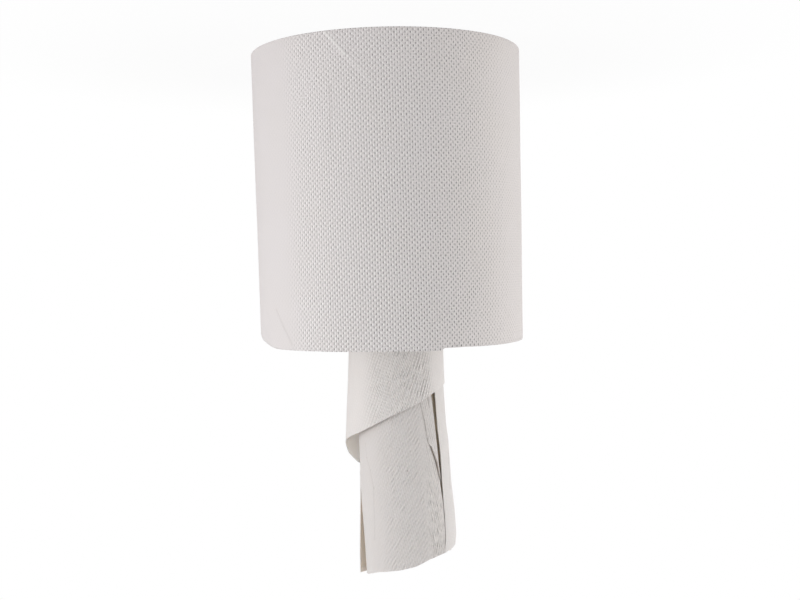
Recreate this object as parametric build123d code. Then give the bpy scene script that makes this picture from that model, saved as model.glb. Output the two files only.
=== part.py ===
from build123d import *
import math
import os

# A coreless centre-feed paper towel roll. It stands on its closed end, and the
# innermost turns are pulled out of the other end as a loosely rolled tail.
# +Z is up, -Y is the front, and the origin is the centre of the lower end.

# Roll
ROLL_HEIGHT = 200.0        # width of the paper web
ROLL_RADIUS = 92.6
LOOSE_END_STEP = 0.7       # the outer turn's free end stands this far off the turn under it
LOOSE_END_ANGLE = 35.0     # from the back towards -X
WELL_RADIUS = 34.0         # hollow that the pulled turns have left

# Turns seen on the two cut ends
TURN_SPACING = 8.0
TURN_GAP = 0.8
TURN_DEPTH = 1.6
TURN_MARGIN = 4.0          # from the gaps to the roll's inner and outer wall

# Throat where the pulled turns leave the roll
THROAT_HEIGHT = 50.0       # the well ends this far below the roll's upper end
THROAT_DROP = 12.0         # its top lies this far below the roll's upper end
THROAT_LENGTH = 10.0       # straight part
THROAT_CLEARANCE = 1.5     # its cone starts this much inside the well's wall

# Tail
TAIL_LEAN = 1.9            # degrees towards -X
TAIL_OFFSET = 1.0          # the tail's centre leaves the roll this far towards -X
WEB_THICKNESS = 0.9
WRAP_RADIUS = 34.6         # outer sheet
TUBE_RADIUS = 29.2         # rolled sheets inside it
TUBE_SPACING = 2.6         # from one turn of the tube to the next
TUBE_TURNS = 3
TUBE_FOOT = 32.0           # the tube starts this far below the roll's upper end
TUBE_EDGE_ANGLE = 48.0     # free outer edge of the tube, from the front towards -X
TAIL_LENGTH = 159.0        # past the roll's end, at its middle
TAIL_END_SLOPE = 12.6      # degrees, higher at +X

# Edges of the outer sheet
FRONT_EDGE_LOW = 31.5      # height above the roll's end at -X
FRONT_EDGE_HIGH = 67.2     # and at +X
CURL_RISE = 19.0           # the edge climbs this much more round the back
CURL_ANGLE = 52.0          # and ends here, from the back towards +X
BACK_EDGE_ANGLE = 68.0     # the back sheet's upright edge ends here, at the tail's end
SLIT_ANGLE = 56.0          # its other upright edge, from the front towards -X

# Wear on the upper rim
CRUSH_SIZE = 8.5
CRUSH_BULGE = 0.3          # share of the size that the crushed corner keeps
CRUSH_ANGLE = 80.0         # from the front towards +X
SHORT_TURNS_WIDTH = 1.5    # outer turns that stop short of the end
SHORT_TURNS_STEP = 1.6
SHORT_TURNS_START = 23.0   # from the front towards -X
SHORT_TURNS_SWEEP = 82.0

FRONT = -90.0              # angle of the front about Z
REACH = 3 * ROLL_RADIUS    # any length that clears the roll


def spiral_edges(radius, spacing, half_turns):
    """Inward spiral of half circles, tangent where they meet on the X axis."""
    edges = []
    centre = 0.0
    for index in range(half_turns):
        side = -1 if index % 2 else 1
        edges.append(CenterArc((centre, 0), radius, 0 if side > 0 else 180, 180))
        radius -= spacing / 2
        centre -= side * spacing / 2
    return edges


def rolled_section(radius, thickness, spacing, half_turns):
    """Flat section of one sheet rolled inwards from the given outer radius."""
    outer = spiral_edges(radius, spacing, half_turns)
    inner = spiral_edges(radius - thickness, spacing, half_turns)
    caps = [Line(outer[0] @ 0, inner[0] @ 0), Line(outer[-1] @ 1, inner[-1] @ 1)]
    return make_face(Curve() + outer + inner + caps)


def ring_sector(inner, outer, start, sweep):
    """Flat piece of a ring, from a start angle counterclockwise."""
    arcs = [CenterArc((0, 0), inner, start, sweep), CenterArc((0, 0), outer, start, sweep)]
    sides = [Line(arcs[0] @ 0, arcs[1] @ 0), Line(arcs[0] @ 1, arcs[1] @ 1)]
    return make_face(Curve() + arcs + sides)


def cut_through(points, length):
    """Prism on the XZ plane: a positive length goes to the front, a negative one to the back."""
    return extrude(make_face(Plane.XZ * Polyline(*points, close=True)), length)


def turn_gaps(top):
    """Gap between the roll's turns, sunk upwards or downwards from a cut end."""
    outer = ROLL_RADIUS - LOOSE_END_STEP - TURN_MARGIN
    turns = int((outer - WRAP_RADIUS - TURN_MARGIN) / TURN_SPACING)
    section = rolled_section(outer, TURN_GAP, TURN_SPACING, 2 * turns)
    return Pos(0, 0, top - TURN_DEPTH) * extrude(section, 2 * TURN_DEPTH)


# Tail's own frame: origin in the roll's upper end, Z along the leaning tail
lean = Pos(-TAIL_OFFSET, 0, ROLL_HEIGHT) * Rot(0, -TAIL_LEAN, 0)
sheet_inner = WRAP_RADIUS - WEB_THICKNESS
tail_top = TAIL_LENGTH + WRAP_RADIUS
upwards = (Align.CENTER, Align.CENTER, Align.MIN)

# Roll, whose outer turn ends in a small step at the back
outline = Curve() + [
    CenterArc((0, 0), ROLL_RADIUS, -90, 180),
    Line((0, ROLL_RADIUS), (0, ROLL_RADIUS - LOOSE_END_STEP)),
    CenterArc((0, -LOOSE_END_STEP / 2), ROLL_RADIUS - LOOSE_END_STEP / 2, 90, 180),
]
roll = Rot(0, 0, LOOSE_END_ANGLE) * extrude(make_face(outline), ROLL_HEIGHT)

# Crushed corner of the upper rim
corner_x, corner_z = ROLL_RADIUS, ROLL_HEIGHT
kept = CRUSH_BULGE * CRUSH_SIZE
crush_profile = Curve() + [
    ThreePointArc(
        (corner_x - CRUSH_SIZE, corner_z),
        (corner_x - kept, corner_z - kept),
        (corner_x, corner_z - CRUSH_SIZE),
    ),
    Polyline(
        (corner_x, corner_z - CRUSH_SIZE),
        (corner_x + CRUSH_SIZE, corner_z - CRUSH_SIZE),
        (corner_x + CRUSH_SIZE, corner_z + CRUSH_SIZE),
        (corner_x - CRUSH_SIZE, corner_z + CRUSH_SIZE),
        (corner_x - CRUSH_SIZE, corner_z),
    ),
]
crush = extrude(Plane.XZ * make_face(crush_profile), ROLL_RADIUS, both=True)
roll -= Rot(0, 0, FRONT + CRUSH_ANGLE) * crush

# Outer turns that stop short of the end
short_start = FRONT - SHORT_TURNS_START - SHORT_TURNS_SWEEP
short_section = ring_sector(
    ROLL_RADIUS - SHORT_TURNS_WIDTH, ROLL_RADIUS + SHORT_TURNS_WIDTH, short_start, SHORT_TURNS_SWEEP
)
roll -= Pos(0, 0, ROLL_HEIGHT - SHORT_TURNS_STEP) * extrude(short_section, 2 * SHORT_TURNS_STEP)

# Gaps between the turns on both ends
roll -= turn_gaps(ROLL_HEIGHT)
roll -= turn_gaps(0)

# Well, and the throat in which the pulled turns narrow to the tube
throat_radius = TUBE_RADIUS - WEB_THICKNESS / 2
cone_base = WELL_RADIUS - THROAT_CLEARANCE
cone_foot = -THROAT_HEIGHT - WELL_RADIUS * math.tan(math.radians(TAIL_LEAN))
cone_top = -THROAT_DROP - THROAT_LENGTH
roll -= Cylinder(WELL_RADIUS, ROLL_HEIGHT - THROAT_HEIGHT, align=upwards)
roll -= lean * Pos(0, 0, cone_foot) * Cone(cone_base, throat_radius, cone_top - cone_foot, align=upwards)
roll -= lean * Pos(0, 0, cone_top) * Cylinder(throat_radius, THROAT_LENGTH, align=upwards)
roll -= lean * Pos(0, 0, -THROAT_DROP) * Cylinder(sheet_inner, 2 * THROAT_DROP, align=upwards)

# Outer sheet, with its front and one back corner missing
sheet_ring = Circle(WRAP_RADIUS) - Circle(sheet_inner)
sheet = Pos(0, 0, -THROAT_DROP) * extrude(sheet_ring, tail_top + THROAT_DROP)
front_slope = (FRONT_EDGE_HIGH - FRONT_EDGE_LOW) / (2 * WRAP_RADIUS)
front_middle = (FRONT_EDGE_HIGH + FRONT_EDGE_LOW) / 2
slit_x = -WRAP_RADIUS * math.sin(math.radians(SLIT_ANGLE))
sheet -= cut_through(
    [
        (slit_x, front_middle + front_slope * slit_x),
        (REACH, front_middle + front_slope * REACH),
        (REACH, REACH),
        (slit_x, REACH),
    ],
    REACH,
)
curl_x = WRAP_RADIUS * math.sin(math.radians(CURL_ANGLE))
back_edge_x = WRAP_RADIUS * math.sin(math.radians(BACK_EDGE_ANGLE))
sheet -= cut_through(
    [
        (WRAP_RADIUS, FRONT_EDGE_HIGH),
        (curl_x, FRONT_EDGE_HIGH + CURL_RISE),
        (back_edge_x, tail_top),
        (REACH, tail_top),
        (REACH, FRONT_EDGE_HIGH),
    ],
    -REACH,
)

# Rolled sheets inside it
tube_section = rolled_section(TUBE_RADIUS, WEB_THICKNESS, TUBE_SPACING, 2 * TUBE_TURNS)
tube = extrude(Rot(0, 0, FRONT - TUBE_EDGE_ANGLE) * tube_section, tail_top + TUBE_FOOT)
tail = sheet + Pos(0, 0, -TUBE_FOOT) * tube

# Slanting end of the tail
end_cut = Pos(0, 0, TAIL_LENGTH) * Rot(0, -TAIL_END_SLOPE, 0) * Box(REACH, REACH, REACH, align=upwards)
tail = lean * (tail - end_cut)

os.makedirs("parts", exist_ok=True)
export_step(roll + tail, "parts/towel_roll.step")
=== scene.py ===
import math

import bmesh
import bpy
from mathutils import Matrix, Vector, noise


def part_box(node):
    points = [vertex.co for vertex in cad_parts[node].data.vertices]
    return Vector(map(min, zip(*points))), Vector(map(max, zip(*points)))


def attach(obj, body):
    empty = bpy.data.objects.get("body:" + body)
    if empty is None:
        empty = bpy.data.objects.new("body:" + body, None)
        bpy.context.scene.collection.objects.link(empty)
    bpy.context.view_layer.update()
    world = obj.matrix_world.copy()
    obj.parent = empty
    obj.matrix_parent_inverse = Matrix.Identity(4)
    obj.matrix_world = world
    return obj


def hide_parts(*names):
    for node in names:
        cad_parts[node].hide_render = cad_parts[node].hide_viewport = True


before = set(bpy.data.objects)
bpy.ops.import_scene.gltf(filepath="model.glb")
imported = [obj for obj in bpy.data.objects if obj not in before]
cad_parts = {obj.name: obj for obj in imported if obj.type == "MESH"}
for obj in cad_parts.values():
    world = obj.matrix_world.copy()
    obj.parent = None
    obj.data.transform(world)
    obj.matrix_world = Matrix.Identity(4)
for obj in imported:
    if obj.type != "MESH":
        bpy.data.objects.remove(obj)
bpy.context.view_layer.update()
low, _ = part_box("towel_roll")

# Sizes in metres. Angles are in degrees about Z, from the front (-Y) towards +X.
MM = 0.001
ROLL_HEIGHT = 0.200
FOOT_RADIUS = 93.2 * MM            # the roll narrows a little towards the tail's end
HEAD_RADIUS = 91.85 * MM
LOOSE_END = -145.0                 # where the outer turn's free end lies
LOOSE_STEP = 0.7 * MM
WELL_RADIUS = 34.0 * MM
MOUTH_RADIUS = 35.6 * MM           # hole in the upper end, round the tail
TAIL_OFFSET = 1.0 * MM
TURN_PITCH = 1.9 * MM
ROLL_COLUMNS = 240
WEB = 0.5 * MM                     # thickness of the tail's outer sheet
TUBE_WEB = WEB * 0.8
SLIVER_WEB = 0.25 * MM
ROLL_UNROLL = 92.6 * MM            # radii that turn angles into lengths along the web
WRAP_UNROLL = 35.0 * MM
TUBE_UNROLL = 30.0 * MM
WELD = 0.004 * MM                  # points of a mesh closer than this become one

# Upper rim: a crushed corner, and outermost turns that stand proud and then stop short
CRUSH_AT, CRUSH_HALF, CRUSH_SIZE = 82.0, 33.0, 8.6 * MM
CRUSH_HOLD = 1.15                  # over 1, so the middle keeps its full size
SHORT_FROM, SHORT_TO, SHORT_RAMP = -21.0, -52.0, 1.6
PROUD_FADE, SHORT_FADE = 26, 30    # degrees over which they fade
RIM_TURNS, CRUSHED_RIM = 1.5 * MM, 0.2 * MM
RIM_PROUD, RIM_SHORT = 0.85 * MM, 0.75 * MM
RIM_FROM, RIM_OVER = 0.190, 0.010  # height where the side begins to follow its rim
RIM_ROUND, RIM_ROUND_OVER = 0.35 * MM, 0.5 * MM
RIM_DROP = 0.1 * MM

# The turns inside them dip between two angles, most near the rim
DIP_DEPTH, DIP_NEAR, DIP_OVER = 1.1 * MM, 10 * MM, 34 * MM
DIP_FROM, DIP_FROM_FADE = 12, 33
DIP_TO, DIP_TO_FADE = -100, 60

SIDE_SWELL = 0.75 * MM             # the side is wider towards -X
FIRST_TURN = 0.4 * MM              # from the well's wall
TURN_ROWS = (0.90, 0.5, 0.10, 0.0)  # shares of a turn; the gap is at 0

# Rows of the roll's profile in mm, closer together at the ends of the side
SIDE_ROWS = [0.0, 0.15, 0.5, 1.2, 2.5]
SIDE_ROWS += [2.5 + 195.0 * i / 74 for i in range(1, 75)]
SIDE_ROWS += [198.8, 199.5, 199.85, 200.0]
MOUTH_ROWS = [(0.0, 199.2), (-0.3, 195.0), (-0.6, 190.0), (-2.5, 187.5)]
THROAT_ROWS = [(28.9, 187.0), (28.7, 178.0), (30.0, 166.0), (32.4, 151.0), (33.9, 149.6)]
WELL_TOP, WELL_FOOT, WELL_ROWS = 0.1496, 0.0006, 15
UPPER_SEED, LOWER_SEED = 1.7, 12.3


def lerp(a, b, t):
    return a + (b - a) * t


def spread(first, last, count):
    return [lerp(first, last, k / (count - 1)) for k in range(count)]


def smooth(t):
    t = min(1.0, max(0.0, t))
    return t * t * (3 - 2 * t)


def table(rows, x):
    """Value at x, on the straight lines between rows of (x, value)."""
    if x <= rows[0][0]:
        return rows[0][1]
    for (x0, v0), (x1, v1) in zip(rows, rows[1:]):
        if x <= x1:
            return lerp(v0, v1, (x - x0) / (x1 - x0))
    return rows[-1][1]


def wave(*at):
    """Smooth noise, about -1 to 1, from three numbers."""
    return noise.noise(Vector(at))


def signed(phi):
    """The same angle between -180 and 180."""
    return (phi + 180) % 360 - 180


def make_mesh(name, verts, faces, uvs, slots, sharp=38):
    """Closed mesh with its web UVs, whose edges are sharp past the given angle."""
    mesh = bpy.data.meshes.new(name)
    mesh.from_pydata(verts, [], faces)
    layer = mesh.uv_layers.new(name="web")
    for poly, face_uv, slot in zip(mesh.polygons, uvs, slots):
        poly.material_index = slot
        poly.use_smooth = True
        for loop, uv in zip(poly.loop_indices, face_uv):
            layer.data[loop].uv = uv
    bm = bmesh.new()
    bm.from_mesh(mesh)
    bmesh.ops.remove_doubles(bm, verts=bm.verts, dist=WELD)
    bmesh.ops.dissolve_degenerate(bm, edges=bm.edges, dist=WELD)
    edges = [e for e in bm.edges if e.is_boundary]
    if edges:
        bmesh.ops.holes_fill(bm, edges=edges, sides=0)
    bmesh.ops.recalc_face_normals(bm, faces=bm.faces)
    bm.to_mesh(mesh)
    bm.free()
    mesh.set_sharp_from_angle(angle=math.radians(sharp))
    obj = bpy.data.objects.new(name, mesh)
    bpy.context.collection.objects.link(obj)
    return obj


# --- roll -----------------------------------------------------------------


def crush_at(phi):
    return CRUSH_SIZE * smooth(CRUSH_HOLD * (1 - abs(signed(phi - CRUSH_AT)) / CRUSH_HALF))


def rim_short(phi):
    """How far the outermost turns stop short of the upper end; less than 0 where they are proud."""
    p = signed(phi)
    step = min(1.0, max(0.0, (SHORT_FROM - p) / SHORT_RAMP + 0.5))
    proud = RIM_PROUD * smooth(1 - (p - SHORT_FROM) / PROUD_FADE)
    return RIM_SHORT * step * smooth((p - SHORT_TO) / SHORT_FADE) - proud * (1 - step)


def turns_short(phi, depth):
    """The same for the turns inside them, which dip softly."""
    p = signed(phi)
    dip = smooth((DIP_FROM - p) / DIP_FROM_FADE) * smooth((p - DIP_TO) / DIP_TO_FADE)
    return DIP_DEPTH * dip * (1 - smooth((depth - DIP_NEAR) / DIP_OVER))


def side_radius(phi, z, t):
    """Radius of the side, a little wavy. t is the share of a turn."""
    r = lerp(FOOT_RADIUS, HEAD_RADIUS, z / ROLL_HEIGHT) - LOOSE_STEP * (1 - t)
    a = math.radians(phi)
    x, y = math.sin(a), math.cos(a)
    r += SIDE_SWELL * max(0.0, -x) ** 2
    r += 0.20 * MM * wave(2.2 * x, 2.2 * y, z * 9) + 0.10 * MM * wave(6 * x, 6 * y, z * 30 + 5)
    return r


def end_face(t, outer, inner, seed):
    """Turns' ends from the outside in, as (radius, height above the face's level)."""
    rows = []
    turns = int((HEAD_RADIUS - RIM_TURNS - WELL_RADIUS) / TURN_PITCH) + 2
    for i in range(turns, -2, -1):
        gap = 0.14 + 0.55 * max(0.0, wave(seed, (i + t) * 0.37, 3.1))
        if wave(seed + 9, (i + t) * 0.9, 0.5) > 0.40:
            gap += 0.5
        lift = 0.16 * wave(seed + 4, (i + t) * 0.8, 7.7) - 0.25
        for share in TURN_ROWS:
            r = WELL_RADIUS + FIRST_TURN + TURN_PITCH * (i + share + t)
            if inner < r < outer:
                rows.append((r, (lift - (0.0 if share else gap)) * MM))
            else:
                rows.append((min(outer, max(inner, r)), 0.0))
    return rows


def roll_profile(phi):
    """Profile at one angle, round the section from the foot up, as rows of (radius, z, slot)."""
    t = (phi - LOOSE_END) / 360
    a = math.radians(phi)
    crush, short = crush_at(phi), rim_short(phi)
    crushed = crush > 0.05 * MM
    ragged = 0.22 * MM * wave(phi * 0.21, 4.0, 1.0) + 0.16 * MM * wave(phi * 0.9, 9.0, 2.0)
    profile = []
    for z_mm in SIDE_ROWS:
        z = z_mm * MM
        r = side_radius(phi, z, t)
        r -= RIM_ROUND * (1 - smooth(min(z, ROLL_HEIGHT - z) / RIM_ROUND_OVER))
        z -= (short + max(0.0, ragged)) * smooth((z - RIM_FROM) / RIM_OVER)
        depth = ROLL_HEIGHT - z
        if crushed and depth < crush:
            s = 0.5 * (1 - depth / crush)
            r -= crush * (1 - math.cos(s * math.pi / 2))
            z = ROLL_HEIGHT - crush * (1 - math.sin(s * math.pi / 2))
        profile.append((r, z, 0))
    rim_r, rim_z, _ = profile[-1]
    step_r = rim_r - (CRUSHED_RIM if crushed else RIM_TURNS)
    profile.append((step_r, rim_z - RIM_DROP, 1))
    # upper end
    mouth = MOUTH_RADIUS - TAIL_OFFSET * math.sin(a)
    full = side_radius(phi, ROLL_HEIGHT, t)
    for r, z in end_face(t, step_r, mouth, UPPER_SEED):
        z += ROLL_HEIGHT - turns_short(phi, full - r)
        if crushed and full - r < crush:
            z -= crush * (1 - math.sqrt(1 - (1 - max(0.0, full - r) / crush) ** 2))
        profile.append((r, z, 1))
    # mouth, throat and well
    profile += [(mouth + r_mm * MM, z_mm * MM, 0) for r_mm, z_mm in MOUTH_ROWS]
    profile += [(r_mm * MM, z_mm * MM, 0) for r_mm, z_mm in THROAT_ROWS]
    for k in range(1, WELL_ROWS + 1):
        z = lerp(WELL_TOP, WELL_FOOT, k / WELL_ROWS)
        r = WELL_RADIUS + 0.25 * MM * wave(3 * math.sin(a), 3 * math.cos(a), z * 25 + 40)
        profile.append((r, z, 0))
    # lower end
    for r, z in reversed(end_face(t, profile[0][0], WELL_RADIUS + 0.1 * MM, LOWER_SEED)):
        profile.append((r, max(0.0, -z), 1))
    return profile


def build_roll():
    angles = [LOOSE_END + 360.0 * j / ROLL_COLUMNS for j in range(ROLL_COLUMNS + 1)]
    angles += [SHORT_FROM + SHORT_RAMP * s for s in (-0.5, 0.5)]
    columns = [(math.radians(phi), roll_profile(phi)) for phi in sorted(angles)]
    rows = len(columns[0][1])
    verts = [
        (r * math.sin(a), -r * math.cos(a), z) for a, profile in columns for r, z, _ in profile
    ]
    faces, uvs, slots = [], [], []
    for j, ((a0, p0), (a1, p1)) in enumerate(zip(columns, columns[1:])):
        here, there = j * rows, (j + 1) * rows
        for k in range(rows):
            up = (k + 1) % rows
            faces.append((here + k, there + k, there + up, here + up))
            corners = ((a0, p0[k]), (a1, p1[k]), (a1, p1[up]), (a0, p0[up]))
            uvs.append([(ROLL_UNROLL * angle, point[1]) for angle, point in corners])
            slots.append(max(p0[k][2], p0[up][2]))
    # the outer turn's free end
    last = (len(columns) - 1) * rows
    for k in range(len(SIDE_ROWS) - 1):
        faces.append((last + k, k, k + 1, last + k + 1))
        uvs.append([(0.0, 0.0)] * 4)
        slots.append(1)
    return make_mesh("roll", verts, faces, uvs, slots)


roll = build_roll()

# --- tail -----------------------------------------------------------------

# Heights are in mm above the roll's upper end, angles as on the roll. x is in mm towards -X.
WRAP_CENTRE = [
    (-12, 1.6), (0, 2.6), (27, 2.05), (60, 1.7), (72, 2.0), (100, 4.5), (120, 5.6), (138, 6.2),
    (165, 6.6),
]
WRAP_WIDTH = [
    (-12, 32.6), (0, 33.0), (27, 33.95), (60, 35.7), (72, 36.7), (100, 35.6), (120, 36.4),
    (138, 36.6), (150, 35.3), (165, 34.8),
]
WRAP_DEPTH = [
    (-12, 32.8), (0, 33.2), (70, 34.6), (92, 34.7), (106, 33.7), (125, 33.0), (165, 32.8),
]
TUBE_CENTRE = [
    (-32, 1.0), (0, 2.6), (38, 4.6), (65, 5.2), (100, 6.1), (133, 7.9), (165, 8.7),
]
TUBE_WIDTH = [
    (-32, 28.2), (0, 29.0), (38, 29.9), (65, 30.6), (100, 31.2), (133, 31.4), (165, 31.0),
]
TUBE_DEPTH = [
    (-32, 28.2), (0, 28.8), (38, 29.5), (65, 30.1), (100, 30.2), (133, 29.8), (165, 29.6),
]
TUBE_FRONT = [(-32, 0.0), (0, 0.6), (38, 2.3), (65, 2.9), (133, 2.9), (165, 2.6)]

# The wrap starts at an upright inner edge in front and winds outwards as the angle falls. Its
# back step is where the upright edge at the back meets the slanting hem.
WRAP_START, WRAP_END = -53.5, -540.0
WRAP_FOOT, WRAP_INSET, WRAP_ROWS = -11, 0.6, 42
BACK_STEP, BACK_HEIGHT, BACK_ROWS = -229.0, 92.0, 31
START_FADE_FROM, START_FADE_OVER = -92, 38
BACK_FADE_FROM, BACK_FADE_OVER = -190, 39
# Above this height the wrap's inner face has the strip's darker paper: painted shade
SHADED_HEIGHT = 90
START_EDGE = [
    (-11, -51), (32, -52.3), (56, -54.2), (80, -55), (97, -53.9), (114, -52.1), (135, -51.4),
    (147, -50.1),
]
BACK_EDGE = [
    (92, 0.0), (93.5, 6.5), (96, 8.4), (100, 9.5), (104, 10.0), (117, 11.3), (138, 15.3),
    (152, 23.4), (167, 28.0),
]
BACK_HEM = [
    (-262, 166.0), (-256, 167.2), (-241, 168.6), (-225, 168.4), (-200, 165.5), (-180, 162.5),
    (-140, 155.5), (-110, 149.5), (-90, 146.2), (-79, 145.2), (-60, 145.7), (-49, 146.9),
]
WRAP_HEM = [
    (-540, 15), (-500, 21), (-470, 27), (-450, 30), (-433.2, 31.3), (-411.7, 34.2),
    (-403.1, 36.0), (-388.4, 40.3), (-373.6, 43.9), (-350.8, 49.9), (-331.2, 56.1),
    (-314.4, 61.0), (-290, 66.2), (-277, 69.0), (-271, 71.7), (-266, 75.8), (-260.6, 79.3),
    (-250.7, 83.6), (-243.2, 86.9), (-238.3, 89.3), (-229, 92.0),
]

# The tube winds inwards from its free edge in front. The sliver of sheet lies on it, beside that.
TUBE_TURNS, TUBE_PITCH, TUBE_COLUMNS = 3, 1.0, 420
TUBE_FOOT, TUBE_ROWS, TUBE_MEAN_START = -31, 80, -50
STRAIGHT_TURNS = 0.45                # over which the free edge's course gives way to the mean
RAGGED_TURN = 0.95                   # past this one the hem is uneven
TIGHT_TURN, TIGHT_RATE, TIGHT_POWER = 1.3, 1.1, 1.6
# Past this column the tube's outer face has the inside's paper: painted warm shade on the turns
# seen through the slit
HIDDEN_COLUMN = 130
# The turn under the free edge dips, up to some height
DENT, DENT_TURN, DENT_HALF = 2.6, 0.985, 0.075
DENT_TOP, DENT_FADE = 84, 30
SLIVER_FOOT, SLIVER_TOP, SLIVER_ROWS, SLIVER_COLUMNS = 24, 96.5, 50, 9
SLIVER_RISE, SLIVER_LIFT, SLIVER_LIFT_OVER = 0.28, 0.95, 5
LIFT_FROM, LIFT_OVER = 68, 6
TUBE_START = [
    (-32, -41.6), (30, -44.6), (36, -45.6), (56, -49.0), (80, -52.6), (97, -52.8),
    (105, -54.5), (110, -55.5), (116, -57.6), (126, -58), (138, -57.5), (147, -57),
]
TUBE_HEM = [
    (-60, 146.6), (-43, 147.2), (-27, 148.7), (-9, 152.5), (12, 155.1), (42.5, 157.9),
    (70, 162.5), (90, 164.7), (130, 166.5), (180, 163), (225, 157), (270, 149.0), (300, 146.6),
]
SLIVER_EDGE = [
    (24, -24), (40, -27.1), (48, -29.9), (60, -33.4), (69, -36.3), (71.4, -39.6),
    (83.4, -47.6), (93.5, -51.9), (97, -52.3),
]


def on_web(unroll, phi, h):
    """Place on the flat web of an angle and a height of the tail."""
    return (unroll * math.radians(phi), ROLL_HEIGHT + h * MM)


def sheet(name, columns, place, unroll, thick, hidden=math.inf, shaded=math.inf):
    """Closed sheet. Each column is a list of (angle, height); all start on the same row.

    Its inner face, and its outer face past the hidden column, have the inside's paper, tinted as
    painted warm shade. Its inner face above the shaded height has a darker one, painted shade too.
    """
    index, outer = {}, []
    for j, column in enumerate(columns):
        for k, at in enumerate(column):
            index[j, k] = len(outer)
            outer.append(Vector(place(*at)))

    def slope(j, k, dj, dk):
        after, before = [index.get((j + s * dj, k + s * dk), index[j, k]) for s in (1, -1)]
        return outer[after] - outer[before]

    inner = []
    for (j, k), at in index.items():
        normal = slope(j, k, 1, 0).cross(slope(j, k, 0, 1)).normalized()
        inner.append(outer[at] - normal * thick)
    size = len(outer)
    faces, slots, open_edges = [], [], set()
    for j in range(len(columns) - 1):
        for k in range(min(len(columns[j]), len(columns[j + 1])) - 1):
            quad = [index[j, k], index[j + 1, k], index[j + 1, k + 1], index[j, k + 1]]
            faces += [quad, [size + i for i in reversed(quad)]]
            slots += [2 if j > hidden else 0, 3 if columns[j][k][1] > shaded else 2]
            for edge in zip(quad, quad[1:] + quad[:1]):
                if edge[::-1] in open_edges:
                    open_edges.remove(edge[::-1])
                else:
                    open_edges.add(edge)
    for a, b in sorted(open_edges):
        faces.append([b, a, size + a, size + b])
        slots.append(1)
    flat = [on_web(unroll, *at) for column in columns for at in column]
    uvs = [[flat[i % size] for i in face] for face in faces]
    return make_mesh(name, [tuple(v) for v in outer + inner], faces, uvs, slots, sharp=50)


def ripple(phi, h):
    """How far in mm the tail's sheets stray from their even course."""
    a = math.radians(phi)
    x, y = math.sin(a), math.cos(a)
    return 0.26 * wave(1.7 * x + 3, 1.7 * y, h * 0.02) + 0.10 * wave(4 * x, 4 * y + 8, h * 0.05)


def wrap_place(phi, h):
    """Point on the wrap's outer face. Each turn lies 1 mm outside the one before."""
    a = math.radians(phi)
    grow = (WRAP_START - phi) / 360 - WRAP_INSET + ripple(phi, h)
    x = -table(WRAP_CENTRE, h) + (table(WRAP_WIDTH, h) + grow) * math.sin(a)
    y = -(table(WRAP_DEPTH, h) + grow) * math.cos(a)
    return (x * MM, y * MM, ROLL_HEIGHT + h * MM)


def wrap_column(step):
    """Column from the foot to the hem. The two upright edges bend those near them."""
    def at(h):
        front = smooth((step - START_FADE_FROM) / START_FADE_OVER)
        back = smooth((BACK_FADE_FROM - step) / BACK_FADE_OVER) * (step >= BACK_STEP)
        bend = (table(START_EDGE, h) - WRAP_START) * front
        return (step + bend - table(BACK_EDGE, h) * back, h)

    if step < BACK_STEP:
        return [at(h) for h in spread(WRAP_FOOT, table(WRAP_HEM, step), WRAP_ROWS)]
    top = table(BACK_HEM, at(BACK_EDGE[-1][0])[0])
    heights = spread(WRAP_FOOT, BACK_HEIGHT, WRAP_ROWS) + spread(BACK_HEIGHT, top, BACK_ROWS)[1:]
    return [at(h) for h in heights]


def tube_place(phi, h, rise=0.0):
    """Point on the tube's outer face, or that far above it."""
    a = math.radians(phi)
    turn = (phi - table(TUBE_START, h)) / 360
    tight = TIGHT_RATE * max(0.0, turn - TIGHT_TURN) ** TIGHT_POWER
    shrink = TUBE_PITCH * turn + tight - rise
    dip = smooth(1 - abs(turn - DENT_TURN) / DENT_HALF)
    dip *= 1 - smooth((h - DENT_TOP) / DENT_FADE)
    uneven = 0.10 * wave(5 * math.sin(a), 5 * math.cos(a), h * 0.03 + turn * 2)
    shrink += DENT * dip - ripple(phi, h) - uneven
    x = -table(TUBE_CENTRE, h) + (table(TUBE_WIDTH, h) - shrink) * math.sin(a)
    y = -table(TUBE_FRONT, h) - (table(TUBE_DEPTH, h) - shrink) * math.cos(a)
    return (x * MM, y * MM, ROLL_HEIGHT + h * MM)


def tube_column(turn):
    """Column from the foot to the hem, so many turns past the free edge."""
    def at(h):
        near = smooth(1 - turn / STRAIGHT_TURNS)
        start = table(TUBE_START, h) * near + TUBE_MEAN_START * (1 - near)
        return (start + 360 * turn, h)

    top = table(TUBE_HEM, (at(150)[0] + 60) % 360 - 60)
    if turn > RAGGED_TURN:
        top += 2.0 * wave(turn * 2.3, 0.4, 0.9) - 0.5
    return [at(h) for h in spread(TUBE_FOOT, top, TUBE_ROWS)]


def sliver_place(phi, h):
    """Point on the sliver's outer face, which comes off the tube along its own edge."""
    edge = smooth(1 - (table(SLIVER_EDGE, h) - phi) / SLIVER_LIFT_OVER)
    lift = 0.02 + SLIVER_LIFT * smooth((h - LIFT_FROM) / LIFT_OVER)
    return tube_place(phi, h, SLIVER_RISE + lift * edge)


def sliver_column(share):
    rows = spread(SLIVER_FOOT, SLIVER_TOP, SLIVER_ROWS)
    return [(lerp(table(TUBE_START, h) + 0.3, table(SLIVER_EDGE, h), share), h) for h in rows]


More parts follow.
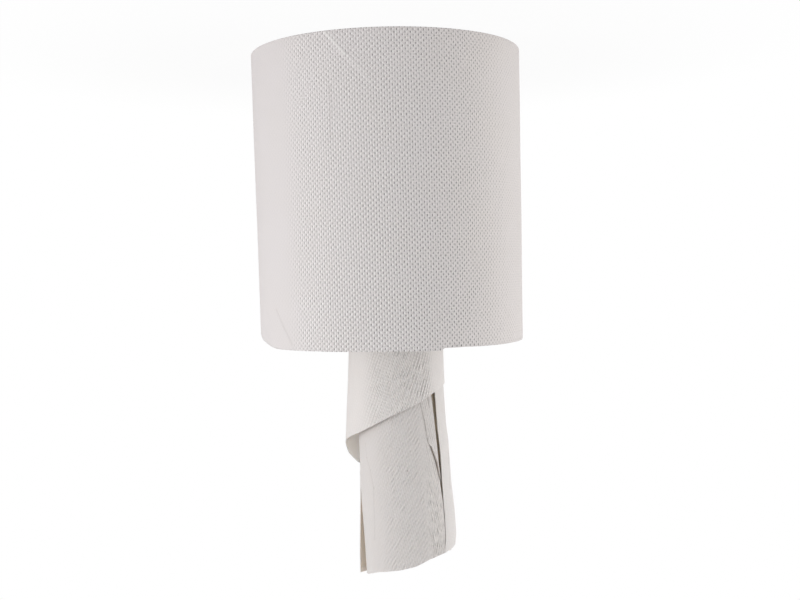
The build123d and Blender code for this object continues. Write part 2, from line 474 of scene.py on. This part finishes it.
wrap_steps = spread(WRAP_END, BACK_STEP, 150) + spread(BACK_STEP, WRAP_START, 90)[1:]
tube_steps = [TUBE_TURNS * j / TUBE_COLUMNS for j in range(TUBE_COLUMNS + 1)]
sliver_steps = spread(0, 1, SLIVER_COLUMNS)
wrap = sheet(
    "tail_wrap", [wrap_column(s) for s in wrap_steps], wrap_place, WRAP_UNROLL, WEB,
    shaded=SHADED_HEIGHT,
)
tube = sheet(
    "tail_tube", [tube_column(s) for s in tube_steps], tube_place, TUBE_UNROLL, TUBE_WEB,
    hidden=HIDDEN_COLUMN,
)
sliver = sheet(
    "tail_sliver", [sliver_column(s) for s in sliver_steps], sliver_place, TUBE_UNROLL, SLIVER_WEB,
)

# --- materials ------------------------------------------------------------

# Each paper has two tones. The second is a little warmer, and the wrap's is its outer turn's, which
# is painted lighter than the turns inside it as painted light.
SIDE_TONES = (0.706, 0.670, 0.668, 1), (0.703, 0.662, 0.642, 1)
WRAP_TONES = (0.722, 0.688, 0.668, 1), (0.768, 0.731, 0.711, 1)
TUBE_TONES = (0.682, 0.646, 0.629, 1), (0.679, 0.639, 0.613, 1)
# The inside, curl and strip tones are painted warm shade: a tan that stands in for the shade in the
# tail's hollows and the light through the paper. The strip's is darker still.
INSIDE_SHADE_TONES = (0.970, 0.860, 0.725, 1), (0.965, 0.840, 0.690, 1)
CURL_SHADE_TONES = (0.94, 0.815, 0.715, 1), (0.935, 0.81, 0.71, 1)
STRIP_SHADE_TONES = (0.80, 0.735, 0.665, 1), (0.79, 0.72, 0.645, 1)
EDGE_TONE = (0.80, 0.763, 0.742, 1)
SPECK = (0.22, 0.20, 0.18, 1)
# Painted shade in the dots' pits, and painted highlights beside them
DOT_SHADE, DOT_HIGHLIGHT = (0.06, 0.053, 0.050, 1), (0.97, 0.96, 0.95, 1)
# Painted shade and painted highlight that the creases are tinted with
CREASE_SHADE, CREASE_HIGHLIGHT = (0.30, 0.27, 0.25, 1), (0.88, 0.86, 0.84, 1)
LIGHT_REACH = 1.3 * MM
NEAR_END = 0.270, 0.315              # heights over which the tube's crinkles begin

# Half width and half height of a dot's parts. The pit is a real dip; the core is painted shade in
# it, and the spot off to its side is a painted highlight.
DOT_PIT = (0.55 * MM, 1.00 * MM)
DOT_SHADE_CORE = (0.39 * MM, 0.82 * MM)
DOT_HIGHLIGHT_SPOT = (0.52 * MM, 0.98 * MM)
DOT_HIGHLIGHT_AT = 0.76 * MM


class Nodes:
    """Short calls for building a node tree."""

    def __init__(self, tree):
        self.tree = tree

    def new(self, kind, inputs=None, **props):
        node = self.tree.nodes.new(kind)
        for key, value in props.items():
            setattr(node, key, value)
        for key, value in (inputs or {}).items():
            self.put(node.inputs[key], value)
        return node

    def put(self, socket, value):
        if isinstance(value, bpy.types.NodeSocket):
            self.tree.links.new(value, socket)
        else:
            socket.default_value = value

    def math(self, op, a, b=0.0, c=0.0, clamp=False):
        node = self.new("ShaderNodeMath", operation=op, use_clamp=clamp)
        for socket, value in zip(node.inputs, (a, b, c)):
            self.put(socket, value)
        return node.outputs[0]

    def times(self, product, *factors):
        for factor in factors:
            product = self.math("MULTIPLY", product, factor)
        return product

    def vector(self, op, a, b=(0, 0, 0)):
        node = self.new("ShaderNodeVectorMath", operation=op)
        self.put(node.inputs[0], a)
        self.put(node.inputs["Scale" if op == "SCALE" else 1], b)
        return node.outputs["Value" if op in ("LENGTH", "DOT_PRODUCT") else "Vector"]

    def combine(self, x, y=0.0):
        return self.new("ShaderNodeCombineXYZ", {"X": x, "Y": y}).outputs[0]

    def noise(self, vector, scale, detail=2.0, rough=0.5, output="Fac"):
        inputs = {"Vector": vector, "Scale": scale, "Detail": detail, "Roughness": rough}
        return self.new("ShaderNodeTexNoise", inputs).outputs[output]

    def ramp(self, value, low, high, a=0.0, b=1.0):
        inputs = {"Value": value, "From Min": low, "From Max": high, "To Min": a, "To Max": b}
        node = self.new("ShaderNodeMapRange", inputs, interpolation_type="SMOOTHSTEP")
        return node.outputs["Result"]

    def mix(self, fac, a, b, blend="MIX"):
        inputs = {0: fac, 6: a, 7: b}
        node = self.new("ShaderNodeMix", inputs, data_type="RGBA", blend_type=blend)
        return node.outputs[2]

    def shade(self, colour, value):
        """The colour times a plain number."""
        inputs = {"Red": value, "Green": value, "Blue": value}
        grey = self.new("ShaderNodeCombineColor", inputs).outputs[0]
        return self.mix(1.0, colour, grey, "MULTIPLY")


def new_material(name):
    material = bpy.data.materials.new(name)
    material.use_nodes = True
    n = Nodes(material.node_tree)
    return material, n, n.tree.nodes["Principled BSDF"]


def set_surface(n, shader, colour, height, strength, distance, settings):
    """Give the shader its colour, its bump from the height, and its other settings."""
    inputs = {"Height": height, "Strength": strength, "Distance": distance}
    bump = n.new("ShaderNodeBump", inputs).outputs["Normal"]
    for key, value in {"Base Color": colour, "Normal": bump, **settings}.items():
        n.put(shader.inputs[key], value)


def dots(n, web, pitch, turned, stretch):
    """Staggered embossed dots, two in each cell: the pit, its painted shade and a painted highlight
    beside it, each 1 in its middle.

    The last value is the place in the lattice, in cells.
    """
    c, s = math.cos(math.radians(turned)), math.sin(math.radians(turned))
    place = n.combine(
        n.vector("DOT_PRODUCT", web, (c / pitch, s / pitch, 0.0)),
        n.vector("DOT_PRODUCT", web, (-s / pitch, c / pitch, 0.0)),
    )
    masks = ([], [], [])
    for shift in (0.0, 0.5):
        cell = n.vector("ADD", place, (shift, shift, 0.0))
        cell = n.vector("SUBTRACT", n.vector("FRACTION", cell), (0.5, 0.5, 0.0))
        for mask, size, at in zip(masks, (DOT_PIT, DOT_SHADE_CORE, DOT_HIGHLIGHT_SPOT), (0.0, 0.0, DOT_HIGHLIGHT_AT)):
            # the lattice turns, but the dots stay upright
            wide, tall = size[0], size[1] * stretch
            across = n.vector("DOT_PRODUCT", cell, (c * pitch / wide, -s * pitch / wide, 0.0))
            upward = n.vector("DOT_PRODUCT", cell, (s * pitch / tall, c * pitch / tall, 0.0))
            away = n.vector("LENGTH", n.combine(n.math("ADD", across, at / wide), upward))
            mask.append(n.ramp(away, 0.0, 1.25, 1.0, 0.0))
    return [n.math("MAXIMUM", *mask) for mask in masks] + [place]


def grain(n, web, place, angle, start, end, columns):
    """Lines through neighbouring dots, in broken patches.

    They are diagonals at the start angle, and columns of the given strength at the end angle.
    """
    diagonal = n.math("COSINE", n.vector("DOT_PRODUCT", place, (math.tau, -math.tau, 0.0)))
    column = n.math("COSINE", n.vector("DOT_PRODUCT", place, (2 * math.tau, 0.0, 0.0)))
    share = n.ramp(angle, start, end)
    column = n.times(column, n.times(share, columns))
    diagonal = n.times(diagonal, n.math("SUBTRACT", 1.0, share))
    patch = n.noise(n.vector("ADD", web, (0.3, 0.1, 0.0)), 110.0, 1.0)
    patch = n.ramp(patch, 0.34, 0.62, 0.5, 0.9)
    broken = n.noise(n.vector("MULTIPLY", web, (1.0, 0.45, 1.0)), 480.0, 1.0)
    broken = n.ramp(broken, 0.34, 0.62, 0.25, 1.0)
    return n.times(n.math("ADD", column, diagonal), n.times(patch, broken))


def crinkles(n, web, height_up, angle, start, end):
    """Upright crinkles near the tail's free end, which begin between the two angles."""
    there = n.times(n.ramp(height_up, *NEAR_END), n.ramp(angle, start, end))
    lumps = n.noise(n.vector("MULTIPLY", web, (1.0, 0.30, 1.0)), 780.0, 1.0)
    return n.times(n.math("SUBTRACT", lumps, 0.5), there)


def pressed(n, angle, zones):
    """Share of the emboss that is left.

    Each zone is (start, full, fade, end, loss): the first four are degrees from the front.
    """
    left = 1.0
    for start, full, fade, end, loss in zones:
        zone = n.times(n.ramp(angle, start, full), n.ramp(angle, fade, end, 1.0, 0.0))
        left = n.times(left, n.math("MULTIPLY_ADD", zone, -loss, 1.0))
    return left


def crease(n, web, start, end, width):
    """1 on the line between two points of the web, falling to 0 at its width."""
    line = (end[0] - start[0], end[1] - start[1], 0.0)
    size = line[0] ** 2 + line[1] ** 2
    offset = n.vector("SUBTRACT", web, (start[0], start[1], 0.0))
    along = n.math("DIVIDE", n.vector("DOT_PRODUCT", offset, line), size, clamp=True)
    far = n.vector("LENGTH", n.vector("SUBTRACT", offset, n.vector("SCALE", line, along)))
    return n.ramp(far, 0.0, width, 1.0, 0.0)


def specks(n, web):
    cells = n.new("ShaderNodeTexVoronoi", {"Vector": web, "Scale": 70.0, "Randomness": 1.0})
    near = n.ramp(cells.outputs["Distance"], 0.016, 0.034, 1.0, 0.0)
    rare = n.ramp(n.noise(cells.outputs["Position"], 310.0, 0.0), 0.60, 0.66)
    return n.times(near, rare, 0.55)


def paper(name, tones, unroll, fade=(-50.0, -12.0), thin=0.0, reach=0.0, emboss=None, lines=None,
          creases=(), zones=()):
    """Paper. thin and reach let light through.

    The second tone gives way to the first between the fade's two angles along the web. All other
    angles are from the front.
    emboss has the dots' pitch, their turn in degrees, their depth, how dark their painted shade
    and how light their painted highlights are, how much taller than usual they are, how far the
    pattern wanders, and the strength of the pulp's fine lumps.
    lines has the grain's strength, the angles where it changes, the strength of its columns and
    that of the crinkles.
    creases are (start, end, width, height, painted_light), where painted_light above 0 is a painted
    highlight and below 0 painted shade; and zones are where the emboss is pressed flat.
    """
    material, n, shader = new_material(name)
    web = bent = n.new("ShaderNodeUVMap", uv_map="web").outputs["UV"]
    along, height_up = n.new("ShaderNodeSeparateXYZ", {"Vector": web}).outputs[:2]
    angle = n.times(along, math.degrees(1 / unroll))
    facing = n.math("WRAP", angle, 180.0, -180.0)
    # fibres, and warmer patches
    fibres = n.noise(n.vector("MULTIPLY", web, (1.0, 0.55, 1.0)), 2600.0, 3.0, 0.7)
    warm = n.times(n.ramp(n.noise(web, 28.0, 4.0, 0.6), 0.35, 0.7), 0.3)
    colour = n.mix(n.math("ADD", warm, n.ramp(angle, *fade, 0.7, 0.0)), *tones)
    colour = n.shade(colour, n.math("MULTIPLY_ADD", fibres, 0.14, 0.93))
    height = n.times(fibres, 0.12)
    if emboss:
        drift = n.vector("SUBTRACT", n.noise(web, 60.0, output="Color"), (0.5, 0.5, 0.5))
        bent = n.vector("ADD", web, n.vector("SCALE", drift, emboss["wander"]))
        # dots, here and there worn: cores of painted shade, darker towards -X, and spots of painted
        # highlight, paler towards +X
        pit, pit_shade, pit_highlight, place = dots(n, bent, emboss["pitch"], emboss["turned"], emboss["taller"])
        left = pressed(n, facing, zones)
        worn = n.times(
            n.ramp(n.noise(web, 75.0, 3.0, 0.6), 0.28, 0.62, 0.75, 1.0),
            n.ramp(n.noise(web, 420.0, 0.0), 0.3, 0.65, 0.74, 1.05),
            n.ramp(height_up, 0.0, 0.19, 0.84, 1.0),
            left,
        )
        height = n.math("SUBTRACT", height, n.times(pit, worn, emboss["depth"]))
        # the pulp's fine lumps
        lumps = n.math("SUBTRACT", n.noise(web, 1100.0, 1.0), 0.5)
        pulp = n.times(lumps, n.times(left, emboss["pulp"]))
        colour = n.shade(colour, n.math("ADD", pulp, 1.0))
        height = n.math("ADD", height, pulp)
        # painted shade in the dots' cores and painted highlights beside them, both set by the side
        # they face
        shade_by_side = n.ramp(facing, -24.0, 22.0, emboss["dark"], 0.66 * emboss["dark"])
        colour = n.mix(n.times(pit_shade, worn, shade_by_side), colour, DOT_SHADE)
        highlight_by_side = n.times(n.ramp(facing, -28.0, 5.0, 0.3, 1.0), emboss["light"])
        colour = n.mix(n.times(pit_highlight, worn, highlight_by_side), colour, DOT_HIGHLIGHT)
    if lines:
        ends = lines["start"], lines["end"]
        line = grain(n, web, place, facing, *ends, lines["columns"])
        line = n.times(line, n.times(left, lines["strength"]))
        if lines["crinkles"]:
            crinkle = crinkles(n, bent, height_up, facing, *ends)
            line = n.math("MULTIPLY_ADD", crinkle, lines["crinkles"], line)
        height = n.math("ADD", height, line)
        # the colour follows the lines and crinkles: painted shade in their grooves and painted
        # highlight on their ridges
        colour = n.shade(colour, n.math("MULTIPLY_ADD", line, 0.16, 1.0))
    colour = n.mix(specks(n, web), colour, SPECK)
    # the creases' bumps, with their painted highlights and painted shade
    for start, end, width, lift, painted_light in creases:
        line = crease(n, bent, start, end, width)
        height = n.math("ADD", height, n.times(line, lift))
        if painted_light:
            tone = CREASE_HIGHLIGHT if painted_light > 0 else CREASE_SHADE
            colour = n.mix(n.times(line, abs(painted_light)), colour, tone)
    set_surface(n, shader, colour, height, 1.0, 0.30 * MM, {
        "Roughness": 0.92, "Specular IOR Level": 0.18,
        "Sheen Weight": 0.06, "Sheen Roughness": 0.6,
        "Subsurface Weight": thin, "Subsurface Radius": (1.0, 0.85, 0.75),
        "Subsurface Scale": reach,
    })
    return material


def cut_edges(name):
    """Cut ends of the turns: fine lines that wind round the axis."""
    material, n, shader = new_material(name)
    place = n.new("ShaderNodeTexCoord").outputs["Object"]
    x, y = n.new("ShaderNodeSeparateXYZ", {"Vector": place}).outputs[:2]
    flat = n.combine(x, y)
    radius = n.vector("LENGTH", flat)
    turn = n.math("DIVIDE", n.math("ARCTAN2", y, x), math.tau)
    loose = n.times(n.noise(flat, 25.0, 1.0), 1.2 * MM)
    wound = n.math("SUBTRACT", n.math("DIVIDE", n.math("ADD", radius, loose), 0.42 * MM), turn)
    line = n.math("ABSOLUTE", n.math("SUBTRACT", n.math("FRACT", wound), 0.5))
    ridge = n.ramp(line, 0.0, 0.5)
    fibre = n.noise(place, 1800.0, 3.0, 0.7)
    band = n.noise(n.combine(radius), 900.0, 2.0)
    # painted shade in the grooves between the turns' ends, times the paper's own bands and fibres
    shade = n.times(
        n.math("MULTIPLY_ADD", ridge, -0.10, 0.98),
        n.math("MULTIPLY_ADD", band, 0.16, 0.90),
        n.math("MULTIPLY_ADD", fibre, 0.14, 0.93),
    )
    height = n.math("ADD", n.times(ridge, -0.7), n.times(fibre, 0.6))
    set_surface(n, shader, n.shade(EDGE_TONE, shade), height, 0.8, 0.15 * MM, {
        "Roughness": 0.95, "Specular IOR Level": 0.12,
    })
    return material


def chain(unroll, points, *look):
    """Creases through (angle, height) points of the tail."""
    web = [on_web(unroll, *at) for at in points]
    return [(a, b) + look for a, b in zip(web, web[1:])]


# Creases on the side: the first two are raised, with painted highlights; the last two are grooves,
# with painted shade.
side_creases = [
    ((0.0370, 0.0010), (0.0245, 0.0150), 2.0 * MM, 1.0, 0.50),
    ((0.0245, 0.0150), (0.0078, 0.0332), 2.0 * MM, 0.7, 0.22),
    ((0.0884, 0.1740), (0.0713, 0.1964), 1.3 * MM, -0.5, -0.12),
    ((0.0343, 0.0339), (0.0354, 0.0677), 1.6 * MM, -0.3, -0.12),
]
tube_creases = []
# Grooves and cracks on the tube, with painted shade along them; the last is painted shade only,
# with no bump.
for points, *look in (
    ([(56.3, 69.1), (53.9, 78.6), (47.4, 87.2), (42.2, 99.2), (48.1, 135.7)],
     0.8 * MM, -0.5, -0.10),
    ([(-38.8, 37.0), (-40.4, 44.5)], 0.9 * MM, -0.5, -0.5),
    ([(-27.1, 40.0), (-29.9, 48.0), (-33.4, 60.0), (-36.3, 69.0)], 0.55 * MM, -0.3, -0.45),
    ([(-39.6, 71.4), (-47.6, 83.4), (-51.9, 93.5)], 0.75 * MM, -0.4, -0.8),
    ([(-5.1, 86.3), (-5.1, 86.9)], 0.7 * MM, 0.0, -0.75),
):
    tube_creases += chain(TUBE_UNROLL, points, *look)
# A groove on the wrap, with painted shade along it
wrap_creases = chain(
    WRAP_UNROLL, [(-76.5, 80.0), (-75.8, 86.5), (-73.8, 96.8), (-71.4, 103.6)],
    1.4 * MM, -0.3, -0.22,
)
# Painted shade on the strip, near its start and at its free end, with no bump
strip_painted_shade = chain(WRAP_UNROLL, [(-238.0, 92.0), (-238.0, 108.0)], 9.0 * MM, 0.0, -0.8)
strip_painted_shade += chain(WRAP_UNROLL, [(-250.0, 168.0), (-238.0, 168.0)], 7.0 * MM, 0.0, -0.5)

side_paper = paper(
    "paper_side", SIDE_TONES, ROLL_UNROLL,
    emboss={"pitch": 3.36 * MM, "turned": 0.0, "depth": 1.1, "dark": 1.20, "light": 1.08,
            "wander": 0.6 * MM, "taller": 1.0, "pulp": 0.75},
    creases=side_creases,
    zones=[(34, 47, 76, 100, 0.92), (-125, -100, -60, -30, 0.58)],
)
wrap_paper = paper(
    "paper_wrap", WRAP_TONES, WRAP_UNROLL, fade=(-150.0, -120.0), thin=0.10, reach=LIGHT_REACH,
    emboss={"pitch": 3.09 * MM, "turned": 24.2, "depth": 1.15, "dark": 0.50, "light": 0.6,
            "wander": 1.7 * MM, "taller": 1.3, "pulp": 0.30},
    lines={"strength": 1.95, "start": -10.0, "end": 30.0, "columns": 0.5, "crinkles": 0.0},
    creases=wrap_creases,
    zones=[(20, 44, 181, 182, 0.85), (-182, -181, -49, -34, 0.8)],
)
tube_paper = paper(
    "paper_tube", TUBE_TONES, TUBE_UNROLL, thin=0.12, reach=LIGHT_REACH,
    emboss={"pitch": 3.16 * MM, "turned": 12.1, "depth": 0.60, "dark": 0.14, "light": 0.35,
            "wander": 1.4 * MM, "taller": 1.35, "pulp": 0.20},
    lines={"strength": 0.98, "start": -20.0, "end": -34.0, "columns": 0.9, "crinkles": 4.0},
    creases=tube_creases,
    zones=[(8, 46, 110, 150, 0.92)],
)
# Papers for the inner faces, tinted as painted warm shade
inside_paper = paper("paper_inside_shade", INSIDE_SHADE_TONES, TUBE_UNROLL, thin=0.8, reach=LIGHT_REACH)
curl_paper = paper("paper_curl_shade", CURL_SHADE_TONES, WRAP_UNROLL, thin=1.0, reach=6.0 * MM)
strip_paper = paper(
    "paper_strip_shade", STRIP_SHADE_TONES, WRAP_UNROLL, thin=0.8, reach=LIGHT_REACH, creases=strip_painted_shade,
)
edge_paper = cut_edges("paper_cut_ends")
for piece, papers in (
    (roll, (side_paper, edge_paper, inside_paper)),
    (wrap, (wrap_paper, edge_paper, curl_paper, strip_paper)),
    (tube, (tube_paper, edge_paper, inside_paper)),
    (sliver, (tube_paper, edge_paper, inside_paper)),
):
    for material in papers:
        piece.data.materials.append(material)
    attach(piece, "root")
    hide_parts("towel_roll")

# --- camera ---------------------------------------------------------------

# The roll stands on the end that the photograph shows uppermost, so the camera is upside down.
CAMERA_AT = Vector((-6.39, -750.25, 144.2)) * MM
PITCH, TILT = 0.0363, -0.0246
FOCAL_PIXELS, FRAME_PIXELS, SENSOR = 1063.0, 800.0, 36.0
forward = Vector((0, math.cos(PITCH), math.sin(PITCH)))
right = Vector((-1, 0, 0))
up = Vector((0, math.sin(PITCH), -math.cos(PITCH)))
right, up = (
    right * math.cos(TILT) + up * math.sin(TILT),
    up * math.cos(TILT) - right * math.sin(TILT),
)
turned_so = Matrix((right, up, -forward)).transposed().to_4x4()
camera = bpy.data.objects.new("camera", bpy.data.cameras.new("camera"))
bpy.context.collection.objects.link(camera)
camera.matrix_world = Matrix.Translation(CAMERA_AT) @ turned_so
camera.data.sensor_width = SENSOR
camera.data.lens = FOCAL_PIXELS / FRAME_PIXELS * SENSOR
camera.data.clip_start, camera.data.clip_end = 0.01, 100
bpy.context.scene.camera = camera

# --- floor, light and world -----------------------------------------------

WHITE, MATT_WHITE = (1, 1, 1, 1), (0.86, 0.86, 0.86, 1)
FLOOR_HALF, FLOOR_DROP = 20, 0.0002
AMBIENT = 0.352
AIM = (0, 0, 0.17)


def seen(n):
    """1 for rays that come from the camera, or by a mirror or glass."""
    path = n.new("ShaderNodeLightPath").outputs
    indirect = n.math("MAXIMUM", path["Is Glossy Ray"], path["Is Transmission Ray"])
    return n.math("MAXIMUM", path["Is Camera Ray"], indirect)


def softbox(name, place, size, power):
    light = bpy.data.lights.new(name, "AREA")
    light.shape, light.size, light.size_y, light.energy = "RECTANGLE", size[0], size[1], power
    obj = bpy.data.objects.new(name, light)
    obj.location = place
    obj.rotation_euler = (Vector(AIM) - Vector(place)).to_track_quat("-Z", "Y").to_euler()
    obj.visible_camera = False
    bpy.context.collection.objects.link(obj)


floor_mesh = bpy.data.meshes.new("floor")
corners = [(FLOOR_HALF * x, FLOOR_HALF * y, 0) for x, y in ((-1, -1), (1, -1), (1, 1), (-1, 1))]
floor_mesh.from_pydata(corners, [], [(0, 1, 2, 3)])
floor = bpy.data.objects.new("floor", floor_mesh)
floor.location.z = low.z - FLOOR_DROP
bpy.context.collection.objects.link(floor)

# The floor shows a soft shadow near the roll and fades to white around it.
floor_material = bpy.data.materials.new("floor")
floor_material.use_nodes = True
n = Nodes(floor_material.node_tree)
n.tree.nodes.clear()
matt = n.new("ShaderNodeBsdfDiffuse", {"Color": MATT_WHITE}).outputs[0]
glow = n.new("ShaderNodeEmission", {"Color": WHITE, "Strength": 1.0}).outputs[0]
away = n.vector("LENGTH", n.new("ShaderNodeTexCoord").outputs["Object"])
white_out = n.ramp(away, 0.11, 0.34, 0.93, 1.0)
both = n.new("ShaderNodeMixShader", {0: n.times(seen(n), white_out), 1: matt, 2: glow})
n.new("ShaderNodeOutputMaterial", {"Surface": both.outputs[0]})
floor_mesh.materials.append(floor_material)

world = bpy.data.worlds.new("world")
bpy.context.scene.world = world
world.use_nodes = True
n = Nodes(world.node_tree)
n.tree.nodes.clear()
ambient = n.new("ShaderNodeBackground", {"Color": WHITE, "Strength": AMBIENT}).outputs[0]
backdrop = n.new("ShaderNodeBackground", {"Color": WHITE, "Strength": 1.0}).outputs[0]
both = n.new("ShaderNodeMixShader", {0: seen(n), 1: ambient, 2: backdrop})
n.new("ShaderNodeOutputWorld", {"Surface": both.outputs[0]})

softbox("left_box", (1.11, -0.69, 0.44), (0.9, 0.84), 10.4)
softbox("right_box", (-1.28, -0.24, 0.44), (0.9, 0.84), 9.9)
softbox("top_box", (0, 0.2, 1.6), (1.4, 1.4), 3.0)

scene = bpy.context.scene
scene.view_settings.view_transform = "Standard"
